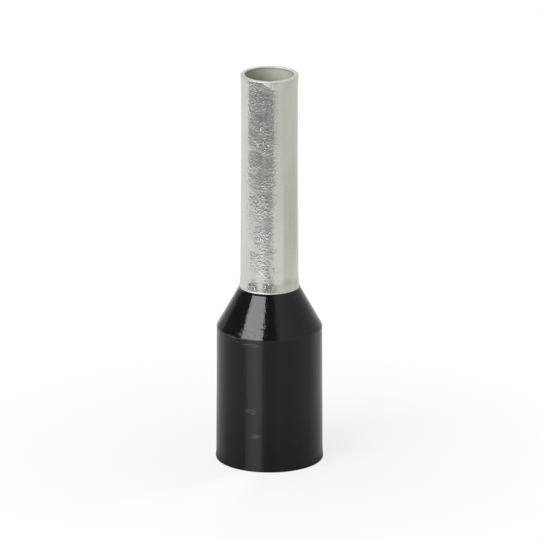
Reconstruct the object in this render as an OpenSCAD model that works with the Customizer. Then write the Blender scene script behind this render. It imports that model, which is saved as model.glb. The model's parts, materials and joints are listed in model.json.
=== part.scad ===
// Insulated wire ferrule: a drawn tinned copper sleeve pressed into a moulded plastic collar.
// It stands on the collar's mouth. The origin is the centre of the mouth, and +Z runs to the tip.

/* [Sleeve] */
// Length of the bare pin, from the collar's lip to the tip
pin_length = 8; // [6:0.5:18]
// Bore that the bared strands fill
strand_bore = 1.75; // [1.4:0.05:2.1]
// Thickness of the copper wall
sleeve_wall = 0.15; // [0.1:0.01:0.2]
// How far the tip opens, in radius
tip_bell = 0.022; // [0.005:0.001:0.05]
// Length over which the tip opens
tip_bell_length = 0.9; // [0.6:0.1:1.5]
// How much the root widens above the step, in radius
root_taper = 0.03; // [0.005:0.001:0.04]
// Height above the lip at which the root starts to widen
root_height = 2.8; // [1.5:0.1:3.5]
// How much wider than the pin the sleeve is in the neck, in radius
grip_growth = 0.072; // [0.06:0.002:0.1]
// Height above the lip at which the step out to the grip starts
step_height = 0.14; // [0.12:0.01:0.3]

/* [Collar] */
// Length of the collar, from mouth to lip
collar_length = 6.5; // [5:0.1:12]
// Bore that takes the wire with its insulation
wire_bore = 3.4; // [2.8:0.1:5]
// Thickness of the skirt's wall at the shoulder
collar_wall = 0.21; // [0.15:0.01:0.5]
// Draft of the skirt, which widens towards the mouth
skirt_draft = 0.3; // [0:0.05:1]
// Angle between the outer cone and the axis
cone_angle = 29; // [22:1:40]
// Thickness of the lip round the sleeve
lip_wall = 0.03; // [0.02:0.005:0.1]
// Height of the lip's edge
lip_height = 0.08; // [0.05:0.01:0.2]
// How far the bead at the mouth stands out
bead = 0.02; // [0.01:0.005:0.05]
// Height of the bead with its blend into the skirt
bead_height = 0.2; // [0.2:0.01:0.6]

/* [Inside the collar] */
// Length of the neck that grips the sleeve
neck_length = 1.75; // [1:0.05:2.5]
// Angle between the inner cone and the axis
funnel_angle = 40; // [30:1:50]
// Step in radius from the sleeve's funnel edge out to the wire bore
funnel_gap = 0.15; // [0.12:0.01:0.2]
// Clearance between sleeve and neck, which is none in a press fit
press_clearance = 0; // [0:0.005:0.02]
// Width of the bevel that leads the wire into the mouth
lead_in = 0.06; // [0.02:0.01:0.1]
// Height of that bevel
lead_in_height = 0.1; // [0.05:0.01:0.2]

/* [Rounding] */
// Radius of the collar's shoulder
shoulder_round = 0.07; // [0.05:0.01:0.3]
// Radius of the mouth's outer edge
mouth_round = 0.03; // [0.02:0.01:0.1]
// Radius of the bend from the neck to the inner cone
bend_round = 0.25; // [0.1:0.01:0.4]
// Radius where the inner cone meets the wire bore
bore_round = 0.2; // [0.05:0.01:0.25]
// Radius of the sleeve's cut edges
burr_round = 0.03; // [0.01:0.005:0.045]

/* [Hidden] */
$fn = 96;
arc_steps = 6;      // chords in each rounded corner
blend_round = 20;   // long radius that blends the pin into its bell and its root
step_round = 0.06;  // radius of the step's bends, on their tight side
grip_show = 0.03;   // height above the lip at which the step ends
lip_round = 0.02;   // radius of the lip's top edge
bead_round = 0.3;   // radius that blends the bead into the skirt

// Sleeve, from the strands' bore outwards
pin_r = strand_bore / 2 + sleeve_wall;
tip_r = pin_r + tip_bell;
root_r = pin_r + root_taper;
grip_r = pin_r + grip_growth;
tip_z = collar_length + pin_length;

// Collar, from the sleeve and the wire's bore outwards
neck_r = grip_r + press_clearance;
lip_r = neck_r + lip_wall;
bore_r = wire_bore / 2;
shoulder_r = bore_r + collar_wall;
lip_base_z = collar_length - lip_height;
shoulder_z = lip_base_z - (shoulder_r - lip_r) / tan(cone_angle);
bead_r = skirt_r(0) + bead;

// Inner cone, on which the sleeve's funnel seats
neck_z = collar_length - neck_length;
funnel_r = bore_r - funnel_gap;

// Height of the inner cone at a radius
function cone_z(r) = neck_z - (r - neck_r) / tan(funnel_angle);

// Radius of the drafted skirt at a height
function skirt_r(z) = shoulder_r + (shoulder_z - z) * tan(skirt_draft);

// Outside of the sleeve, from tip to funnel, as [radius, height, rounding]
sleeve_path = [
    [tip_r, tip_z, 0],
    [pin_r, tip_z - tip_bell_length, blend_round],
    [pin_r, collar_length + root_height, blend_round],
    [root_r, collar_length + step_height, step_round],
    [grip_r, collar_length + grip_show, step_round + sleeve_wall],
    [grip_r, cone_z(grip_r), bend_round],
    [funnel_r, cone_z(funnel_r), 0],
];

// Section of the collar, up the inside and down the outside, as [radius, height, rounding]
collar_section = [
    [bore_r + lead_in, 0, 0],
    [bore_r, lead_in_height, 0],
    [bore_r, cone_z(bore_r), bore_round],
    [neck_r, neck_z, bend_round],
    [neck_r, collar_length, 0],
    [lip_r, collar_length, lip_round],
    [lip_r, lip_base_z, 0],
    [shoulder_r, shoulder_z, shoulder_round],
    [skirt_r(bead_height), bead_height, bead_round],
    [bead_r, bead_height / 2, bead_round],
    [bead_r, 0, mouth_round],
];

function unit(v) = v / norm(v);
function turned(v, a) = [v[0] * cos(a) - v[1] * sin(a), v[0] * sin(a) + v[1] * cos(a)];
function flat(p) = [p[0], p[1]];

// Arc that rounds corner b, on the way from a to c
function corner_arc(a, b, c, radius) =
    let (
        back = unit(a - b),
        on = unit(c - b),
        half = acos(back * on) / 2,
        centre = b + unit(back + on) * radius / sin(half),
        spoke = b + back * radius / tan(half) - centre,
        sweep = sign(back[1] * on[0] - back[0] * on[1]) * (180 - 2 * half)
    )
    [for (i = [0 : arc_steps]) centre + turned(spoke, sweep * i / arc_steps)];

// Points of a path or closed section, each corner rounded to its own radius
function rounded(corners) =
    let (n = len(corners), at = [for (c = corners) flat(c)])
    [for (i = [0 : n - 1])
        each corners[i][2] == 0
            ? [at[i]]
            : corner_arc(at[(i + n - 1) % n], at[i], at[(i + 1) % n], corners[i][2])];

// Path moved to the right of its run by a distance
function beside(path, distance) =
    let (
        last = len(path) - 1,
        side = [for (i = [1 : last]) turned(unit(path[i] - path[i - 1]), -90)]
    )
    [for (i = [0 : last])
        let (before = side[max(i - 1, 0)], after = side[min(i, last - 1)])
        path[i] + (before + after) * distance / (1 + before * after)];

// Section of a wall of even thickness under a path, with rounded cut edges
function wall_section(path, wall, edge) =
    let (
        outer = rounded(path),
        inner = beside(outer, wall),
        last = len(outer) - 1,
        ends = function (i) i == 0 || i == last ? edge : 0
    )
    rounded(concat(
        [for (i = [0 : last]) [outer[i][0], outer[i][1], ends(i)]],
        [for (i = [last : -1 : 0]) [inner[i][0], inner[i][1], ends(i)]]
    ));

// Tinned copper tube: belled tip, straight pin, widened root, step, grip and seated funnel
module sleeve() {
    color("silver")
        rotate_extrude()
            polygon(wall_section(sleeve_path, sleeve_wall, burr_round));
}

// Moulding: wire bore, inner cone and neck inside, lip, cone and drafted skirt outside
module collar() {
    color([0.09, 0.09, 0.1])
        rotate_extrude()
            polygon(rounded(collar_section));
}

sleeve();
collar();
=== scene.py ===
"""Looks of an insulated wire ferrule: a tinned copper sleeve pressed into a black plastic collar.

Outlines are in millimetres, as (radius, height) points. The meshes are in metres, as the frame is.
"""

import json
import math

import bmesh
import bpy
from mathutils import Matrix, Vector, noise


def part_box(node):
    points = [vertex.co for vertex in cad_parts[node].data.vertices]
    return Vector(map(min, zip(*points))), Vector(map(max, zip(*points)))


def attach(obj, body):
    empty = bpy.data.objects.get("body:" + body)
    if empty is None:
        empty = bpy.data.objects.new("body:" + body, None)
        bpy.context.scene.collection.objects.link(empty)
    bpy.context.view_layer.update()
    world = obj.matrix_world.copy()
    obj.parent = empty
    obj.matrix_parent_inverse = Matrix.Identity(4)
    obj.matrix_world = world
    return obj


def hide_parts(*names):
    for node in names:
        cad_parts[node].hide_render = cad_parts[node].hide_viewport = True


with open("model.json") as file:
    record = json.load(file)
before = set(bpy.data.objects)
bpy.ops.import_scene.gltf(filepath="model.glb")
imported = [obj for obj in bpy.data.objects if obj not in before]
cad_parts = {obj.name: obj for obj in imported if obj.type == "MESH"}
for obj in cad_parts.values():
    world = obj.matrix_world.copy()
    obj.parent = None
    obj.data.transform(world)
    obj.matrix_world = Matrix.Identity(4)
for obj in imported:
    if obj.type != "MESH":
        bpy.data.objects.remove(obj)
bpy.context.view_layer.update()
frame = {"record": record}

MM = 0.001
SEGMENTS = 210  # round each turned piece
ARC_STEPS = 8  # chords in each rounded corner
FINE_STEP, COARSE_STEP = 0.03, 0.2  # longest stretch between rings outside and inside, in mm


# ---------------------------------------------------------------- sizes, from the frame


def box_mm(node):
    """Outer radius, lowest and highest point of a CAD node, in mm."""
    low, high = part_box(node)
    return high.x / MM, low.z / MM, high.z / MM


def mount_radius(name):
    mounts = frame["record"]["mounts"]
    return next(m["dims"]["r_mm"] for m in mounts if m["name"] == name)


BEAD_R, MOUTH_Z, LIP_Z = box_mm("collar")
TIP_Z = box_mm("sleeve")[2]
PIN_R = mount_radius("pin")
STRAND_R = mount_radius("strand_bore")
BORE_R = mount_radius("wire_entry")
WALL = PIN_R - STRAND_R

# Sizes that the record doesn't hold
TIP_BELL = 0.022
ROOT_GROWTH = 0.03
GRIP_GROWTH = 0.072
LIP_WALL = 0.03
COLLAR_WALL = 0.21
NECK_LENGTH = 1.75
FUNNEL_GAP = 0.15
CONE_SLOPE = math.tan(math.radians(29))
FUNNEL_SLOPE = math.tan(math.radians(40))
DRAFT_SLOPE = math.tan(math.radians(0.3))

GRIP_R = PIN_R + GRIP_GROWTH
SHOULDER_R = BORE_R + COLLAR_WALL
NECK_Z = LIP_Z - NECK_LENGTH


# ---------------------------------------------------------------- turned meshes


def corner_arc(before, at, after, radius):
    """Points of the arc that rounds a corner on the way from before to after."""
    back, on = (before - at).normalized(), (after - at).normalized()
    half = back.angle(on) / 2
    centre = at + (back + on).normalized() * radius / math.sin(half)
    spoke = at + back * radius / math.tan(half) - centre
    sweep = math.copysign(math.pi - 2 * half, back.y * on.x - back.x * on.y)
    arc = []
    for i in range(ARC_STEPS + 1):
        a = sweep * i / ARC_STEPS
        x = spoke.x * math.cos(a) - spoke.y * math.sin(a)
        y = spoke.x * math.sin(a) + spoke.y * math.cos(a)
        arc.append(centre + Vector((x, y)))
    return arc


def rounded(corners):
    """Points of a path or closed outline of (radius, height, rounding) corners."""
    at = [Vector(c[:2]) for c in corners]
    points = []
    for i, (_, _, radius) in enumerate(corners):
        if radius:
            points += corner_arc(at[i - 1], at[i], at[(i + 1) % len(at)], radius)
        else:
            points.append(at[i])
    return points


def beside(path, distance):
    """The path moved to the right of its run."""
    sides = []
    for a, b in zip(path, path[1:]):
        run = (b - a).normalized()
        sides.append(Vector((run.y, -run.x)))
    pairs = zip([sides[0], *sides], [*sides, sides[-1]])
    return [p + (s + t) * distance / (1 + s.dot(t)) for p, (s, t) in zip(path, pairs)]


def with_cut_edges(outer, inner, outer_radius, inner_radius):
    """Closed outline of a wall between two paths, with its end corners rounded."""
    outline = []
    for path, radius in ((outer, outer_radius), (inner[::-1], inner_radius)):
        ends = (0, len(path) - 1)
        outline += [(p.x, p.y, radius if i in ends else 0) for i, p in enumerate(path)]
    return rounded(outline)


def divided(outline, inside):
    """The closed outline with its long stretches cut into steps, coarser where they are inside."""
    points = []
    for a, b in zip(outline, outline[1:] + outline[:1]):
        step = COARSE_STEP if inside(a.lerp(b, 0.5)) else FINE_STEP
        count = max(1, math.ceil((b - a).length / step))
        points += [a.lerp(b, i / count) for i in range(count)]
    return points


def lathe(name, outline, inside, relief):
    """A closed outline turned about Z, each point moved by relief(point, outward), in mm."""
    mesh = bmesh.new()
    rings = []
    for p in divided(outline, inside):
        turns = [2 * math.pi * i / SEGMENTS for i in range(SEGMENTS)]
        rings.append([mesh.verts.new((p.x * math.cos(t), p.x * math.sin(t), p.y)) for t in turns])
    for ring, following in zip(rings, rings[1:] + rings[:1]):
        for i in range(SEGMENTS):
            j = (i + 1) % SEGMENTS
            mesh.faces.new((ring[i], ring[j], following[j], following[i]))
    bmesh.ops.recalc_face_normals(mesh, faces=mesh.faces)
    mesh.normal_update()
    normals = [vert.normal.copy() for vert in mesh.verts]
    for vert, out in zip(mesh.verts, normals):
        vert.co = (vert.co + relief(vert.co, out)) * MM
    data = bpy.data.meshes.new(name)
    mesh.to_mesh(data)
    mesh.free()
    data.shade_smooth()
    piece = bpy.data.objects.new(name, data)
    bpy.context.collection.objects.link(piece)
    return piece


def dip(value, centre, width):
    """1 at the centre, falling to 0 over the width on each side."""
    return math.exp(-(((value - centre) / width) ** 2))


def smooth(value, low, high):
    """0 up to low, 1 from high, and a soft rise between."""
    t = min(max((value - low) / (high - low), 0.0), 1.0)
    return t * t * (3 - 2 * t)


def azimuth(point):
    """Degrees round the axis, 0 towards -Y and positive towards +X."""
    return math.degrees(math.atan2(point.x, -point.y))


def direction(azimuth_deg, elevation_deg):
    """Unit vector towards an azimuth, 0 towards -Y and positive towards +X, and an elevation."""
    a, e = math.radians(azimuth_deg), math.radians(elevation_deg)
    return Vector((math.sin(a) * math.cos(e), -math.cos(a) * math.cos(e), math.sin(e)))


def faces_out(point, normal):
    return point.x * normal.x + point.y * normal.y > 0


# ---------------------------------------------------------------- sleeve


def sleeve_outline():
    """One wall of even thickness: belled tip, pin, root, step, grip and funnel."""
    cone_z = lambda r: NECK_Z - (r - GRIP_R) / FUNNEL_SLOPE
    funnel_r = BORE_R - FUNNEL_GAP
    corners = [  # radius, height, rounding outside and inside
        (PIN_R + TIP_BELL, TIP_Z - 0.012, 0, 0),
        (PIN_R + 0.004, TIP_Z - 0.4, 8, 8),
        (PIN_R, TIP_Z - 1.1, 20, 20),
        (PIN_R, LIP_Z + 5, 20, 20),
        (PIN_R + ROOT_GROWTH, LIP_Z + 0.36, 2.5, 2.5),
        (GRIP_R - 0.006, LIP_Z + 0.03, 0.02, 0.05),
        (GRIP_R, LIP_Z + 0.02, 0.02, 0.05),
        (GRIP_R, NECK_Z, 0.25, 0.4),
        (funnel_r, cone_z(funnel_r), 0, 0),
    ]
    path = beside([Vector(c[:2]) for c in corners], WALL)
    outer = rounded([c[:3] for c in corners])
    inner = rounded([(p.x, p.y, c[3]) for p, c in zip(path, corners)])
    return with_cut_edges(outer, inner, outer_radius=0.035, inner_radius=0.012)


def inside_sleeve(p):
    return p.x < PIN_R - WALL / 2 + ROOT_GROWTH or p.y < LIP_Z


def sleeve_relief(point, normal):
    """Drawn tube: slightly out of round, with a pinched tip, a burr below an uneven cut edge, a flat
    at the lip and two dents above it."""
    turn = azimuth(point)
    outwards = Vector((point.x, point.y, 0)).normalized()
    fold = 0.1 + 0.2 * smooth(turn, -14, 6)
    front = smooth(turn, -16, -10) * (1 - smooth(turn, 6.5, 8.5))
    pinch = 0.13 * max(0, point.z - TIP_Z + fold) * front
    swell = 0.004 * noise.noise(Vector((point.x * 0.9, point.y * 0.9, point.z * 0.35)))
    cut = smooth(point.z, TIP_Z - 0.06, TIP_Z - 0.03)
    bite = 0.008 * abs(noise.noise(point * 5)) * cut
    dents = 0.0
    if faces_out(point, normal):
        burr = smooth(noise.noise(Vector((turn / 5, 3, 0))), -0.4, 0.1)
        burr *= 1 - smooth(turn, -33, -27)
        dents += 0.011 * dip(point.z, TIP_Z - 0.07, 0.022) * burr
        dents += 0.03 * (1 - smooth(point.z, LIP_Z + 0.02, LIP_Z + 0.42)) * dip(turn, -19, 6)
        pair = dip(turn, -35, 8) + dip(turn, -2, 8)
        dents += 0.006 * dip(point.z, LIP_Z + 0.38, 0.1) * pair
    return outwards * (pinch - dents) + normal * (swell * (1 - cut) - bite)


# ---------------------------------------------------------------- collar


def collar_outline():
    """Bore, inner cone and neck up the inside; lip, cone and skirt down the outside."""
    lip_r = GRIP_R + LIP_WALL
    lip_base = LIP_Z - 0.08
    shoulder_z = lip_base - (SHOULDER_R - lip_r) / CONE_SLOPE
    skirt_r = lambda z: SHOULDER_R + (shoulder_z - z) * DRAFT_SLOPE
    return rounded([
        (BORE_R + 0.06, MOUTH_Z, 0),
        (BORE_R, 0.1, 0.02),
        (BORE_R, NECK_Z - (BORE_R - GRIP_R) / FUNNEL_SLOPE, 0.2),
        (GRIP_R, NECK_Z, 0.25),
        (GRIP_R, LIP_Z, 0),
        (GRIP_R + 0.01, LIP_Z, 0.005),
        (lip_r, lip_base, 0.1),
        (SHOULDER_R, shoulder_z, 0.05),
        (skirt_r(0.2), 0.2, 0.3),
        (BEAD_R, 0.06, 0.1),
        (BEAD_R, MOUTH_Z, 0.02),
    ])


def inside_collar(p):
    in_bore = p.x < BORE_R + COLLAR_WALL / 2 and p.y < LIP_Z - 1.3
    return in_bore or p.x < GRIP_R + LIP_WALL / 2


def collar_relief(point, normal):
    """Moulded skin: long waves, rings from the mould left of the front, and two small marks."""
    if not faces_out(point, normal) or point.z < 0.3:
        return Vector()
    turn = azimuth(point)
    waves = 0.003 * noise.noise(Vector((point.x * 0.8, point.y * 0.8, point.z * 0.5)))
    rings = 0.0025 * sum(dip(point.z, z, 0.03) for z in (4.81, 5.08, 5.16, 5.24, 5.34))
    marks = dip(turn, -19, 5) * dip(point.z, 2.28, 0.03)
    marks += dip(turn, -14, 3.5) * dip(point.z, 1.39, 0.03)
    return normal * (waves + rings * smooth(-turn, 4, 10) + 0.006 * marks)


# ---------------------------------------------------------------- material nodes


def node(tree, kind, inputs=None, **settings):
    """Adds a shader node, sets or links its inputs, and returns its first output."""
    made = tree.nodes.new("ShaderNode" + kind)
    for key, value in settings.items():
        setattr(made, key, value)
    for key, value in (inputs or {}).items():
        if isinstance(value, bpy.types.NodeSocket):
            tree.links.new(value, made.inputs[key])
        else:
            made.inputs[key].default_value = value
    return made.outputs[0] if made.outputs else made


def math_node(tree, operation, a, b=0.0):
    return node(tree, "Math", {0: a, 1: b}, operation=operation)


def weighted(tree, terms):
    """Sum of the (value, weight) terms."""
    result = 0.0
    for value, weight in terms:
        result = node(tree, "Math", {0: value, 1: weight, 2: result}, operation="MULTIPLY_ADD")
    return result


def ranged(tree, value, low, high, start=0.0, end=1.0, **settings):
    """Goes from start to end while the value goes from low to high."""
    return node(tree, "MapRange", {
        "Value": value, "From Min": low, "From Max": high, "To Min": start, "To Max": end,
    }, **settings)


def length(tree, vector):
    return node(tree, "VectorMath", {0: vector}, operation="LENGTH").node.outputs["Value"]


def object_mm(tree, stretch=(1, 1, 1)):
    """The piece's own coordinates in mm, each axis times its stretch."""
    coordinates = tree.nodes.new("ShaderNodeTexCoord").outputs["Object"]
    scale = [s / MM for s in stretch]
    return node(tree, "Mapping", {"Vector": coordinates, "Scale": scale})


def ramp(tree, value, stops):
    """A colour ramp through (position, colour) stops."""
    made = tree.nodes.new("ShaderNodeValToRGB")
    tree.links.new(value, made.inputs[0])
    elements = made.color_ramp.elements
    elements.remove(elements[1])
    elements[0].position = stops[0][0]
    for position, _ in stops[1:]:
        elements.new(position)
    for element, (_, colour) in zip(elements, stops):
        element.color = (*colour, 1)
    return made.outputs[0]


def new_material(name):
    material = bpy.data.materials.new(name)
    material.use_nodes = True
    material.node_tree.nodes.clear()
    return material, material.node_tree


def to_output(tree, shader, kind="OutputMaterial"):
    node(tree, kind, {"Surface": shader})


def spot(tree, turn, height, radius, size, edge=0.5):
    """1 in an ellipsoid on the surface, fading to 0 at its skin. Its size is across and up, in mm."""
    centre = direction(turn, 0) * radius + Vector((0, 0, height))
    reach = (size[0], size[0], size[1])
    coordinates = tree.nodes.new("ShaderNodeTexCoord").outputs["Object"]
    inside = node(tree, "Mapping", {
        "Vector": coordinates,
        "Location": [-c / r for c, r in zip(centre, reach)],
        "Scale": [1 / (r * MM) for r in reach],
    })
    return ranged(tree, length(tree, inside), 1.0 - edge, 1.0, 1.0, 0.0)


def total(tree, values):
    """Sum of the values, kept to 1."""
    result = values[0]
    for value in values[1:]:
        result = math_node(tree, "ADD", result, value)
    result.node.use_clamp = True
    return result


def mixed(tree, share, a, b):
    """Goes from number a to number b with the share."""
    return node(tree, "Mix", {0: share, 2: a, 3: b})


def mixed_colour(tree, share, a, b):
    """Goes from colour a to colour b with the share."""
    made = node(tree, "Mix", {0: share}, data_type="RGBA").node
    for socket, colour in ((6, a), (7, b)):
        if isinstance(colour, bpy.types.NodeSocket):
            tree.links.new(colour, made.inputs[socket])
        else:
            made.inputs[socket].default_value = (*colour, 1)
    return made.outputs[2]


def tinned_copper():
    """Tin plating: pimples, worm lines and draw streaks, duller in the bore and on the cut edges, with
    painted shade in the bore just below the rim.
    """
    material, tree = new_material("tinned_copper")
    here = object_mm(tree)
    along = object_mm(tree, (1, 1, 0.05))
    cells = node(tree, "TexVoronoi", {"Vector": here, "Scale": 9.5})
    pimples = ranged(tree, cells, 0.12, 0.45, 1.0, 0.0, interpolation_type="SMOOTHSTEP")
    grain = node(tree, "TexNoise", {"Vector": here, "Scale": 12.5, "Detail": 1.5})
    streaks = node(tree, "TexNoise", {"Vector": along, "Scale": 9.0, "Detail": 1.0})
    tarnish = node(tree, "TexNoise", {
        "Vector": object_mm(tree, (1, 1, 0.5)), "Scale": 1.1, "Detail": 2.0,
    })
    patches = node(tree, "TexNoise", {"Vector": here, "Scale": 1.8, "Detail": 1.0})
    swirl = node(tree, "TexNoise", {"Vector": here, "Scale": 6.0, "Detail": 0.0})
    off_middle = math_node(tree, "ABSOLUTE", math_node(tree, "SUBTRACT", swirl, 0.5))
    worms = ranged(tree, off_middle, 0.0, 0.06, 1.0, 0.0, interpolation_type="SMOOTHSTEP")

    # Where on the piece
    height = node(tree, "SeparateXYZ", {"Vector": here}).node.outputs["Z"]
    radius = length(tree, object_mm(tree, (1, 1, 0)))
    bore = math_node(tree, "LESS_THAN", radius, PIN_R - WALL / 2)
    tip_edge = math_node(tree, "GREATER_THAN", height, TIP_Z - 0.04)
    lip_edge = math_node(tree, "LESS_THAN", height, LIP_Z + 0.05)
    edge = math_node(tree, "MAXIMUM", tip_edge, lip_edge)
    # Painted shade: the bore darkens towards the rim, just below the cut edge, where the rim shades it
    painted_bore_shade = ranged(tree, height, TIP_Z - 0.12, TIP_Z - 0.04, 0.0, 0.6)
    front = spot(tree, -18, 11, PIN_R, (0.75, 5), 0.3)
    pressed = total(tree, [
        spot(tree, -36, 6.79, GRIP_R, (0.3, 0.32), 1.0),
        spot(tree, -3, 6.87, GRIP_R, (0.28, 0.36), 1.0),
        spot(tree, -8, 7.4, GRIP_R, (0.2, 0.5), 1.0),
    ])
    scuffs = total(tree, [
        spot(tree, -2, 10.6, PIN_R, (0.95, 0.03)),
        spot(tree, 29, 13.1, PIN_R, (0.07, 0.025)),
    ])
    bruised = total(tree, [
        spot(tree, -20, LIP_Z + 0.08, GRIP_R, (0.2, 0.2), 0.8),
        spot(tree, -12, LIP_Z + 0.28, GRIP_R, (0.06, 0.16), 1.0),
    ])
    bruise = math_node(tree, "MULTIPLY", bruised, ranged(tree, grain, 0.35, 0.65, 0.2, 1.0))
    # A darker, warmer patch on the grip at the right of the root
    dark_root_patch = math_node(tree, "MULTIPLY", spot(tree, 39, 6.85, GRIP_R, (0.32, 0.3), 0.8), 0.6)

    crowd = ranged(tree, patches, 0.4, 0.6, 0.25, 1.0)
    crowd = math_node(tree, "MULTIPLY", crowd, mixed(tree, front, 0.3, 1.0))
    specks = weighted(tree, [(pimples, 1.0), (grain, 1.6), (worms, 0.35)])
    specks = math_node(tree, "MULTIPLY", specks, mixed(tree, pressed, crowd, 1.3))
    relief = weighted(tree, [(specks, 1.0), (streaks, 0.5), (scuffs, 0.35)])
    bump = node(tree, "Bump", {"Height": relief, "Strength": 1.0, "Distance": 0.0053 * MM})

    colour = ramp(tree, tarnish, [(0.35, (0.68, 0.68, 0.67)), (0.65, (0.645, 0.645, 0.62))])
    colour = mixed_colour(tree, dark_root_patch, colour, (0.5, 0.485, 0.44))
    # Bore colour, darkened near the rim by the painted shade
    bore_colour = mixed_colour(tree, painted_bore_shade, (0.46, 0.455, 0.41), (0.12, 0.12, 0.11))
    colour = mixed_colour(tree, bore, colour, bore_colour)
    colour = mixed_colour(tree, edge, colour, (0.75, 0.75, 0.73))
    roughness = ranged(tree, tarnish, 0.0, 1.0, 0.1, 0.18)
    roughness = mixed(tree, bruise, roughness, 0.45)
    roughness = mixed(tree, bore, roughness, 0.8)
    roughness = mixed(tree, edge, roughness, 0.6)
    metallic = mixed(tree, bore, 1.0, 0.35)
    shader = node(tree, "BsdfPrincipled", {
        "Base Color": colour, "Metallic": metallic, "Roughness": roughness, "Normal": bump,
    })
    to_output(tree, shader)
    return material


def black_plastic():
    """Glossy black moulding: faint grain, lines along the draw, and scuff marks, which are also painted
    highlights.
    """
    material, tree = new_material("black_plastic")
    here = object_mm(tree)
    along, across = object_mm(tree, (1, 1, 0.03)), object_mm(tree, (1, 1, 6))
    grain = node(tree, "TexNoise", {"Vector": here, "Scale": 6.0, "Detail": 3.0})
    lines = node(tree, "TexNoise", {"Vector": along, "Scale": 9.0, "Detail": 2.0})
    cloud = node(tree, "TexNoise", {"Vector": here, "Scale": 0.8, "Detail": 2.0})
    scratches = node(tree, "TexNoise", {"Vector": across, "Scale": 5.0, "Detail": 2.0})
    scratches = ranged(tree, scratches, 0.45, 0.6)
    # Scuffs: rough and worn, and lighter in colour as painted highlights on the two marks, the ring, the
    # shoulder and the cone
    cone_scuff_and_glint = math_node(tree, "MULTIPLY", spot(tree, -24, 5.18, 1.8, (0.6, 0.22)), 0.5)
    scuffs_and_painted_glints = math_node(tree, "MULTIPLY", scratches, total(tree, [
        spot(tree, -20, 2.27, SHOULDER_R, (0.3, 0.13)),
        spot(tree, -15, 1.36, SHOULDER_R, (0.22, 0.12)),
        spot(tree, -20, 4.81, SHOULDER_R, (0.5, 0.09)),
        spot(tree, -34, 5.0, SHOULDER_R, (0.9, 0.06)),
        cone_scuff_and_glint,
    ]))

    relief = weighted(tree, [(grain, 0.6), (lines, 1.5)])
    bump = node(tree, "Bump", {"Height": relief, "Strength": 1.0, "Distance": 0.0035 * MM})
    colour = ramp(tree, cloud, [(0.3, (0.0036, 0.0035, 0.0041)), (0.7, (0.0051, 0.0047, 0.0058))])
    # Painted highlight: lighter grey on the scuffs
    colour = mixed_colour(tree, scuffs_and_painted_glints, colour, (0.06, 0.06, 0.062))
    roughness = ranged(tree, grain, 0.0, 1.0, 0.06, 0.14)
    roughness = mixed(tree, scuffs_and_painted_glints, roughness, 0.5)
    shader = node(tree, "BsdfPrincipled", {
        "Base Color": colour, "Roughness": roughness, "Normal": bump,
        "IOR": 1.45, "Specular Tint": (0.94, 0.96, 1, 1),
    })
    to_output(tree, shader)
    return material


# ---------------------------------------------------------------- stage, light and camera


def aim(thing, place, target):
    thing.location = place
    thing.rotation_mode = "QUATERNION"
    thing.rotation_quaternion = (target - place).to_track_quat("-Z", "Y")


def make_camera():
    """Long lens at the photograph's angle, level with the middle of the ferrule."""
    data = bpy.data.cameras.new("camera")
    camera = bpy.data.objects.new("camera", data)
    bpy.context.collection.objects.link(camera)
    distance, elevation, frame_width = 0.4, 17.8, 19.54 * MM
    target = Vector((0.018 * MM, 0, 7.085 * MM))
    aim(camera, target + direction(0, elevation) * distance, target)
    data.sensor_width = 36
    data.lens = data.sensor_width * distance / frame_width
    data.clip_start, data.clip_end = 0.01, 5
    bpy.context.scene.camera = camera


def make_key():
    """Softbox at the front left, near enough that the table dims towards the right."""
    distance, radiance = 0.14, 7.4
    half_width, half_height = math.radians(22), math.radians(14.5)
    data = bpy.data.lights.new("softbox", "AREA")
    data.shape = "RECTANGLE"
    data.size = 2 * distance * math.tan(half_width)
    data.size_y = 2 * distance * math.tan(half_height)
    data.energy = radiance * math.pi * data.size * data.size_y
    lamp = bpy.data.objects.new("softbox", data)
    bpy.context.collection.objects.link(lamp)
    target = Vector((0, 0, 6 * MM))
    aim(lamp, target + direction(-42.5, 29.5) * distance, target)
    lamp.visible_camera = False


def seen_in_picture(tree):
    """1 for a ray from the camera, or for one that metal or glass sends on."""
    path = tree.nodes.new("ShaderNodeLightPath").outputs
    bright = math_node(tree, "MAXIMUM", path["Is Camera Ray"], path["Is Glossy Ray"])
    return math_node(tree, "MAXIMUM", bright, path["Is Transmission Ray"])


def sheet(name, corners, faces, material):
    """A mesh of the stage, which isn't part of the ferrule."""
    mesh = bpy.data.meshes.new(name)
    mesh.from_pydata(corners, [], faces)
    mesh.materials.append(material)
    made = bpy.data.objects.new(name, mesh)
    bpy.context.collection.objects.link(made)
    return made


def make_floor():
    """Glossy table, plain white from a little way off. From below, it is seen through."""
    material, tree = new_material("white_table")
    surface = node(tree, "BsdfPrincipled", {"Base Color": (0.88, 0.88, 0.88, 1), "Roughness": 0.1})
    white = node(tree, "Emission", {"Color": (1, 1, 1, 1), "Strength": 1.0})
    geometry = tree.nodes.new("ShaderNodeNewGeometry").outputs
    away = length(tree, geometry["Position"])
    whiteness = ranged(tree, away, 3 * MM, 12 * MM, 0.78, 0.99)
    share = math_node(tree, "MULTIPLY", seen_in_picture(tree), whiteness)
    lit = node(tree, "MixShader", {0: share, 1: surface, 2: white})
    clear = node(tree, "BsdfTransparent")
    to_output(tree, node(tree, "MixShader", {0: geometry["Backfacing"], 1: lit, 2: clear}))
    side = 0.6
    corners = [(-side, -side, 0), (side, -side, 0), (side, side, 0), (-side, side, 0)]
    sheet("table", corners, [(0, 1, 2, 3)], material)


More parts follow.
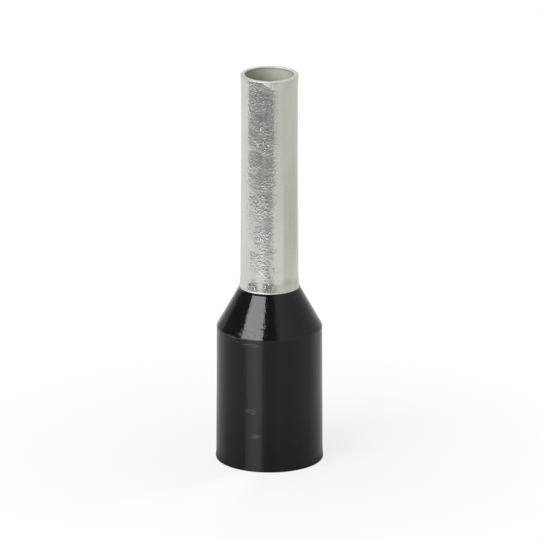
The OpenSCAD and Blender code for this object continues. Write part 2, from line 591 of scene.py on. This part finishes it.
def table_light(turn, away):
    """Light that the table sends to the ferrule from an azimuth and a distance in mm, as a colour.

    The pin mirrors the table from about 20 mm outwards, and the collar mirrors it nearer in.
    """
    far = smooth(away, 36, 45)
    right = smooth(turn, -10, 35) * (1 - smooth(turn, 142 + 16 * far, 172 + 16 * far))
    plain = 0.93 - 0.21 * right - 0.08 * smooth(-turn, 115, 150)
    plain += 0.2 * (1 - smooth(away, 28, 39)) * smooth(turn, 10, 26) * (1 - smooth(turn, 46, 66))
    plain -= 0.11 * dip(away, 30, 5) * smooth(turn, 56, 72) * (1 - smooth(turn, 118, 150))
    plain += 0.06 * (1 - smooth(away, 22, 28)) * smooth(turn, 50, 70)
    plain -= 0.3 * dip(turn, 23, 7) * far
    plain += 0.07 * noise.noise(Vector((turn / 14, math.log(away) * 9, 4)))

    # The dark band
    edge = 25.5 + 11 * max(-turn - 10, 0) / 74 + 8 * max(turn + 2, 0) / 18
    dim = smooth(turn, -90 - 12 * far, -84 - 4 * far) * (1 - smooth(turn, 13, 21))
    dim *= smooth(away, edge - 3, edge + 3)
    mottle = noise.noise(Vector((turn / 6, math.log(away) * 12, 0.5)))
    band = 0.32 + 0.16 * (1 - smooth(away, 30, 42)) + 0.6 * mottle
    pin = plain + (band - plain) * dim

    # The collar, with its bright strip. Its wall stands off the axis, so near it the turn is widened
    turn /= 1 - SHOULDER_R / 2 / away
    strip = smooth(turn, -56, -48) * (1 - smooth(turn, -22, -8))
    rest = 0.51 + 0.02 * (1 - right) - 0.1 * dip(turn, 0, 14)
    rest += 0.16 * (1 - smooth(turn, -130, -105))
    rest += 0.1 * smooth(turn, 40, 100) + 0.12 * smooth(turn, 105, 125)
    # Painted shadow of the collar on the table: the rest darkens within 10 mm of the foot, and everything
    # goes dark right at the foot
    rest *= 0.68 + 0.32 * smooth(away, 2, 10)
    hump = (1.12 + 0.4 * dip(turn, -31, 10)) * (0.85 + 0.2 * smooth(away, 2, 16))
    skirt = rest + (hump - rest) * strip
    skirt *= smooth(away, SHOULDER_R - 0.5, SHOULDER_R + 0.8)

    outer = smooth(away, 17, 22)
    light = skirt + (pin - skirt) * outer
    warm, violet = right * outer, right * (1 - outer)
    tint = (1 - 0.02 * warm, 1 - 0.04 * violet, 0.99 - 0.07 * warm)
    return [light * t for t in tint]


def studio_light(turn):
    """Light that the room sends to the ferrule from an azimuth, as a colour."""
    behind = 0.42 * (1 - smooth(turn, -128, -122))
    right = 0.66 - 0.18 * smooth(turn, 30, 95) + 0.3 * smooth(turn, 130, 160)
    right *= smooth(turn, 11, 28)
    return [0.085 + behind + right] * 3


def make_reflector(name, grid, lights):
    """Lit sheet that only gloss shows, through a grid of points with a colour at each."""
    across = len(grid[0])
    faces = [(i * across + j, i * across + j + 1, (i + 1) * across + j + 1, (i + 1) * across + j)
             for i in range(len(grid) - 1) for j in range(across - 1)]
    material, tree = new_material(name)
    colour = node(tree, "Attribute", attribute_name="light")
    to_output(tree, node(tree, "Emission", {"Color": colour, "Strength": 1.0}))
    made = sheet(name, [p for row in grid for p in row], faces, material)
    attribute = made.data.color_attributes.new("light", "FLOAT_COLOR", "POINT")
    for stored, light in zip(attribute.data, [c for row in lights for c in row]):
        stored.color = (*light, 1)
    made.visible_camera = made.visible_diffuse = made.visible_shadow = False


def make_reflectors():
    """The table and the room as the ferrule mirrors them."""
    turns = range(-180, 181, 3)
    aways = [2 * 1.06**i for i in range(87)]  # mm
    lift = Vector((0, 0, 0.02 * MM))
    grid = [[direction(t, 0) * a * MM + lift for a in aways] for t in turns]
    make_reflector("table_reflector", grid, [[table_light(t, a) for a in aways] for t in turns])

    radius = 0.3
    rises = [math.tan(math.radians(e)) for e in (0, 19, 38, 57)]
    grid = [[(direction(t, 0) + Vector((0, 0, rise))) * radius for rise in rises] for t in turns]
    make_reflector("room_reflector", grid, [[studio_light(t) for _ in rises] for t in turns])


def make_world():
    """White studio: full white where it is seen, dimmer as light."""
    world = bpy.data.worlds.new("studio")
    bpy.context.scene.world = world
    world.use_nodes = True
    tree = world.node_tree
    tree.nodes.clear()
    strength = mixed(tree, seen_in_picture(tree), 0.45, 1.0)
    to_output(tree, node(tree, "Background", {"Color": (1, 1, 1, 1), "Strength": strength}), "OutputWorld")


def make_stage():
    make_floor()
    make_world()
    make_key()
    make_reflectors()


# ---------------------------------------------------------------- the ferrule


def add_piece(name, node_name, outline, inside, relief, material):
    piece = lathe(name, outline, inside, relief)
    piece.data.materials.append(material)
    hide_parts(node_name)
    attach(piece, "root")


make_camera()
make_stage()
add_piece("ferrule_sleeve", "sleeve", sleeve_outline(), inside_sleeve, sleeve_relief,
          tinned_copper())
add_piece("ferrule_collar", "collar", collar_outline(), inside_collar, collar_relief,
          black_plastic())

bpy.context.scene.view_settings.view_transform = "Standard"
